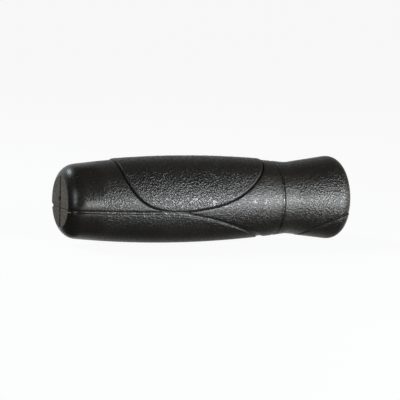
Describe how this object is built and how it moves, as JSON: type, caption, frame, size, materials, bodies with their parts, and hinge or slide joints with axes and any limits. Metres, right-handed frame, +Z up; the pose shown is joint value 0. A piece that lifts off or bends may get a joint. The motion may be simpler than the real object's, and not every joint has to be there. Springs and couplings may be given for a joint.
{
  "type": "ergonomic handlebar grip",
  "caption": "Black rubber handlebar grip with a palm swell, a raised grained palm area, shallow grooves, a closed outer end and a flared inner end with a blind bore for the bar.",
  "frame": {"origin": "centre of the bore at the open, flared mouth", "axes": "+X along the bore, out of its mouth; +Z up, through the middle of the raised palm area"},
  "size_m": [0.125, 0.037, 0.0365],
  "materials": {
    "rubber": "matt black rubber with a fine moulded grain, coarser on the palm area"
  },
  "bodies": {
    "root": {"grip": "rubber"}
  },
  "joints": []
}
